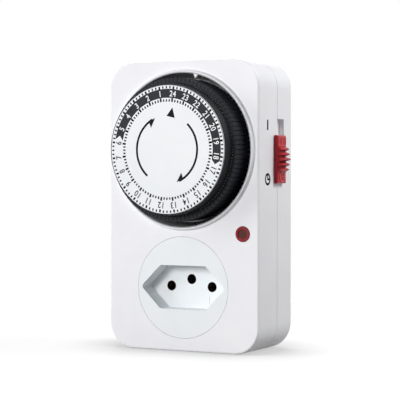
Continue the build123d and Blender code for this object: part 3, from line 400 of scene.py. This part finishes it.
def clock(drawing, centre, outer, inner, hand, place, levels):
    """Clock mark: a ring with one hand up and one to the right."""
    here = moved(place, centre)
    half = hand / 2
    ring(drawing, inner, outer, 0, 360, CLOCK_BLOCKS, here, levels)
    prism(drawing, rectangle(-half, -half, half, outer * HAND_UP), here, levels)
    prism(drawing, rectangle(half, -half, outer * HAND_ACROSS, half), here, levels)


def piece(name, drawing, material, body):
    """Turns a drawing into a piece that rides on a body."""
    bmesh.ops.remove_doubles(drawing, verts=drawing.verts, dist=0.0001 * MM)
    bmesh.ops.recalc_face_normals(drawing, faces=drawing.faces)
    mesh = bpy.data.meshes.new(name)
    drawing.to_mesh(mesh)
    drawing.free()
    made = bpy.data.objects.new(name, mesh)
    bpy.context.scene.collection.objects.link(made)
    made.data.materials.append(material)
    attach(made, body)


# ----------------------------------------------------------------- dial print

dial = on_front(DIAL_Z, FACE_Y)


def hour_angle(hour):
    return HOUR_ZERO + 360 / HOURS * hour


def hour_digits(drawing, text, size, angle, lift):
    """Printed digits in the ring of hours, their tops towards the rim."""
    curve = bpy.data.curves.new("digits", "FONT")
    curve.body = text
    curve.size = size
    curve.align_x = "CENTER"
    curve.align_y = "CENTER"
    curve.space_character = DIGIT_SPACING
    curve.offset = DIGIT_BOLD
    holder = bpy.data.objects.new("digits", curve)
    bpy.context.scene.collection.objects.link(holder)
    shaped = holder.evaluated_get(bpy.context.evaluated_depsgraph_get())
    flat = bpy.data.meshes.new_from_object(shaped)
    across = [vertex.co.x for vertex in flat.vertices]
    along = [vertex.co.y for vertex in flat.vertices]
    middle_u = (min(across) + max(across)) / 2
    middle_v = (min(along) + max(along)) / 2
    centre = Vector(polar(DIGIT_RADIUS, angle))
    up = Vector(polar(1, angle))
    right = Vector((up.y, -up.x))
    for face in flat.polygons:
        corners = []
        for index in face.vertices:
            at = flat.vertices[index].co
            spot = centre + right * (at.x - middle_u) * DIGIT_SQUEEZE + up * (at.y - middle_v)
            corners.append(drawing.verts.new(dial(spot.x, spot.y, lift)))
        drawing.faces.new(corners)
    bpy.data.objects.remove(holder)
    bpy.data.curves.remove(curve)
    bpy.data.meshes.remove(flat)


ticks = bmesh.new()
for quarter in range(HOURS * QUARTERS):
    angle = hour_angle(quarter / QUARTERS)
    half_width, stretches = QUARTER_TICK if quarter % QUARTERS else HOUR_TICK
    sideways = Vector(polar(1, angle + 90)) * half_width
    for low, high in stretches:
        inner, outer = Vector(polar(low, angle)), Vector(polar(high, angle))
        corners = (inner - sideways, outer - sideways, outer + sideways, inner + sideways)
        prism(ticks, [tuple(corner) for corner in corners], dial, INK)
piece("dial_ticks", ticks, ink_black, "dial")

rim = bmesh.new()
ring(rim, RIM_IN, RIM_OUT, 0, 360, RIM_BLOCKS, dial, THICK_INK)
piece("dial_dark_rim", rim, ink_black, "dial")

# the band that marks the night hours ends in a point at one end and a notch at the other
band = bmesh.new()
ring(band, BAND_IN, BAND_OUT, BAND_START, BAND_END, BAND_BLOCKS, dial, INK)
tip = ((BAND_MIDDLE, BAND_TIP), (BAND_OUT, BAND_START), (BAND_IN, BAND_START))
prism(band, polar_outline(tip), dial, INK)
piece("dial_night_band", band, ink_band, "dial")

notch = bmesh.new()
prism(notch, polar_outline(NOTCH), dial, NOTCH_INK)
piece("dial_band_notch", notch, ink_white, "dial")

dark_digits, light_digits = bmesh.new(), bmesh.new()
for hour in range(1, HOURS + 1):
    if LAST_MORNING_HOUR < hour < FIRST_EVENING_HOUR:
        hour_digits(dark_digits, str(hour), DARK_DIGIT_SIZE, hour_angle(hour), DARK_DIGIT_LIFT)
    else:
        hour_digits(light_digits, str(hour), LIGHT_DIGIT_SIZE, hour_angle(hour), LIGHT_DIGIT_LIFT)
piece("dial_digits_dark", dark_digits, ink_black, "dial")
piece("dial_digits_light", light_digits, ink_white, "dial")

triangle = bmesh.new()
prism(triangle, polar_outline(MIDDLE_MARK), dial, INK)
piece("dial_middle_mark", triangle, ink_black, "dial")

arrows = bmesh.new()
for start, end in ARROW_SPANS:
    ring(arrows, ARROW_IN, ARROW_OUT, start, end, ARROW_BLOCKS, dial, INK)
    prism(arrows, polar_outline(ARROWHEAD, end), dial, ARROWHEAD_INK)
piece("dial_turn_arrows", arrows, ink_black, "dial")

# ------------------------------------------------------------ housing details

# white pointer, a thin tab that reaches in from the bowl's lip
pointer = bmesh.new()
prism(pointer, polar_outline(POINTER, POINTER_ANGLE), on_front(DIAL_Z, FRONT_Y), POINTER_TAB)
piece("pointer_tip", pointer, ink_white, "housing")

# marks beside the two ends of the side slot
side = on_side(SIDE_X)
side_marks = bmesh.new()
prism(side_marks, rectangle(*SIDE_ON_MARK), side, THICK_INK)
clock(side_marks, *SIDE_CLOCK, side, THICK_INK)
piece("side_marks", side_marks, ink_black, "housing")

# raised marks at the ends of the override knob
knob = on_side(SIDE_X + KNOB_REACH)
knob_marks = bmesh.new()
left, low, right, high = KNOB_FRAME
inner_low, inner_high = low + KNOB_FRAME_EDGE, high - KNOB_FRAME_EDGE
for bar in (
    (left, low, right, inner_low),
    (left, inner_high, right, high),
    (left, inner_low, left + KNOB_FRAME_EDGE, inner_high),
    (right - KNOB_FRAME_EDGE, inner_low, right, inner_high),
    KNOB_ON_MARK,
):
    prism(knob_marks, rectangle(*bar), knob, RAISED_MARK)
clock(knob_marks, *KNOB_CLOCK, knob, RAISED_MARK)
piece("override_knob_marks", knob_marks, red_mark, "slider")

# shallow raised panel on the recess floor, under the holes
recess_floor = on_front(SOCKET_Z, FRONT_Y + RECESS_DEPTH)
panel = bmesh.new()
prism(panel, rectangle(*PANEL), recess_floor, RAISED_PANEL)
piece("recess_panel", panel, white_insert, "housing")

# black sleeves in the three holes, dark sheets put there as painted shade
shade_sleeves = bmesh.new()
for hole in HOLES:
    ring(shade_sleeves, SHADE_SLEEVE_IN, SHADE_SLEEVE_OUT, 0, 360, SHADE_SLEEVE_BLOCKS, moved(recess_floor, hole), SHADE_SLEEVE_LEVELS)
piece("hole_painted_shade_sleeves", shade_sleeves, black_tappet, "housing")

# ---------------------------------------------------------------------- floor

FLOOR_REACH = 6.0
CONTACT_REACH = 0.032
CONTACT_SHADES = [(0.5, (0.62, 0.62, 0.62)), (0.97, (1, 1, 1))]
NEAR_GREY, NEAR_GLOW = 0.12, 0.9
LIGHTING_GREY = 0.35
FADE_START, FADE_END = 0.08, 0.22


def make_floor_material():
    """White where it is seen, with a soft shadow near the object, and plain grey for other rays."""
    material = bpy.data.materials.new("studio_floor")
    material.use_nodes = True
    tree = material.node_tree
    tree.nodes.remove(tree.nodes["Principled BSDF"])
    contact = tree.nodes.new("ShaderNodeAmbientOcclusion")
    contact.inputs["Distance"].default_value = CONTACT_REACH
    glow = tree.nodes.new("ShaderNodeEmission")
    glow.inputs["Strength"].default_value = NEAR_GLOW
    tree.links.new(add_ramp(tree, contact.outputs["AO"], CONTACT_SHADES), glow.inputs["Color"])
    near = tree.nodes.new("ShaderNodeAddShader")
    tree.links.new(add_diffuse(tree, NEAR_GREY), near.inputs[0])
    tree.links.new(glow.outputs["Emission"], near.inputs[1])
    far = tree.nodes.new("ShaderNodeEmission").outputs["Emission"]
    coords = tree.nodes.new("ShaderNodeTexCoord").outputs["Object"]
    distance = add_vector_math(tree, "LENGTH", coords)
    fade = add_range(tree, distance, FADE_START, FADE_END, curve="SMOOTHSTEP")
    shown = add_mix(tree, fade, near.outputs["Shader"], far)
    surface = add_mix(tree, add_seen(tree), add_diffuse(tree, LIGHTING_GREY), shown)
    tree.links.new(surface, tree.nodes["Material Output"].inputs["Surface"])
    return material


floor_mesh = bpy.data.meshes.new("studio_floor")
square = rectangle(-FLOOR_REACH, -FLOOR_REACH, FLOOR_REACH, FLOOR_REACH)
floor_mesh.from_pydata([(x, y, 0) for x, y in square], [], [(0, 1, 2, 3)])
floor_mesh.materials.append(make_floor_material())
made = bpy.data.objects.new("studio_floor", floor_mesh)
bpy.context.scene.collection.objects.link(made)

# ---------------------------------------------------------------------- light

WORLD_TINT, WORLD_STRENGTH = (0.97, 0.98, 1.0, 1), 0.04

# place in metres, side of the square lamp in metres, power in watts
LAMPS = {
    "low_left_softbox": ((-1.2, -0.9, 0.3), 0.5, 5.0),
    "high_left_softbox": ((-1.0, -1.0, 0.95), 0.5, 3.3),
    "front_softbox": ((-0.3, -1.4, 0.45), 0.5, 13.6),
    "close_side_softbox": ((0.33, 0.13, 0.38), 0.2, 1.8),
    "back_softbox": ((-0.8, 1.2, 0.7), 0.6, 15.0),
}
LAMP_TARGET = Vector((0, 0, 0.06))

world = bpy.data.worlds.new("studio")
bpy.context.scene.world = world
world.use_nodes = True
sky = world.node_tree
dim = sky.nodes["Background"]
dim.inputs["Color"].default_value = WORLD_TINT
dim.inputs["Strength"].default_value = WORLD_STRENGTH
white = sky.nodes.new("ShaderNodeBackground")
white.inputs["Color"].default_value = (1, 1, 1, 1)
sky_light = add_mix(sky, add_seen(sky), dim.outputs["Background"], white.outputs["Background"])
sky.links.new(sky_light, sky.nodes["World Output"].inputs["Surface"])

for name, (place, side_length, power) in LAMPS.items():
    light = bpy.data.lights.new(name, "AREA")
    light.shape = "SQUARE"
    light.size = side_length
    light.energy = power
    softbox = bpy.data.objects.new(name, light)
    bpy.context.scene.collection.objects.link(softbox)
    softbox.location = place
    softbox.rotation_euler = (LAMP_TARGET - Vector(place)).to_track_quat("-Z", "Y").to_euler()

# --------------------------------------------------------------------- camera

# place in metres, its depth counted from the front face, and angles in degrees
CAMERA_X, CAMERA_AWAY, CAMERA_Z = 0.2924, 0.5394, 0.0734
YAW, PITCH, ROLL = radians(27.7961), radians(1.0585), radians(0.0245)

camera_data = bpy.data.cameras.new("camera")
camera_data.sensor_fit = "HORIZONTAL"
camera_data.sensor_width = 36
camera_data.lens = 135
camera_data.clip_start = 0.01
camera = bpy.data.objects.new("camera", camera_data)
bpy.context.scene.collection.objects.link(camera)
forward = Vector((-sin(YAW) * cos(PITCH), cos(YAW) * cos(PITCH), -sin(PITCH)))
level = Vector((cos(YAW), sin(YAW), 0))
upward = level.cross(forward)
right_way = level * cos(ROLL) + upward * sin(ROLL)
up_way = upward * cos(ROLL) - level * sin(ROLL)
turned = Matrix((right_way, up_way, -forward)).transposed().to_4x4()
camera.matrix_world = Matrix.Translation((CAMERA_X, FRONT_Y * MM - CAMERA_AWAY, CAMERA_Z)) @ turned
bpy.context.scene.camera = camera
bpy.context.scene.view_settings.view_transform = "Standard"
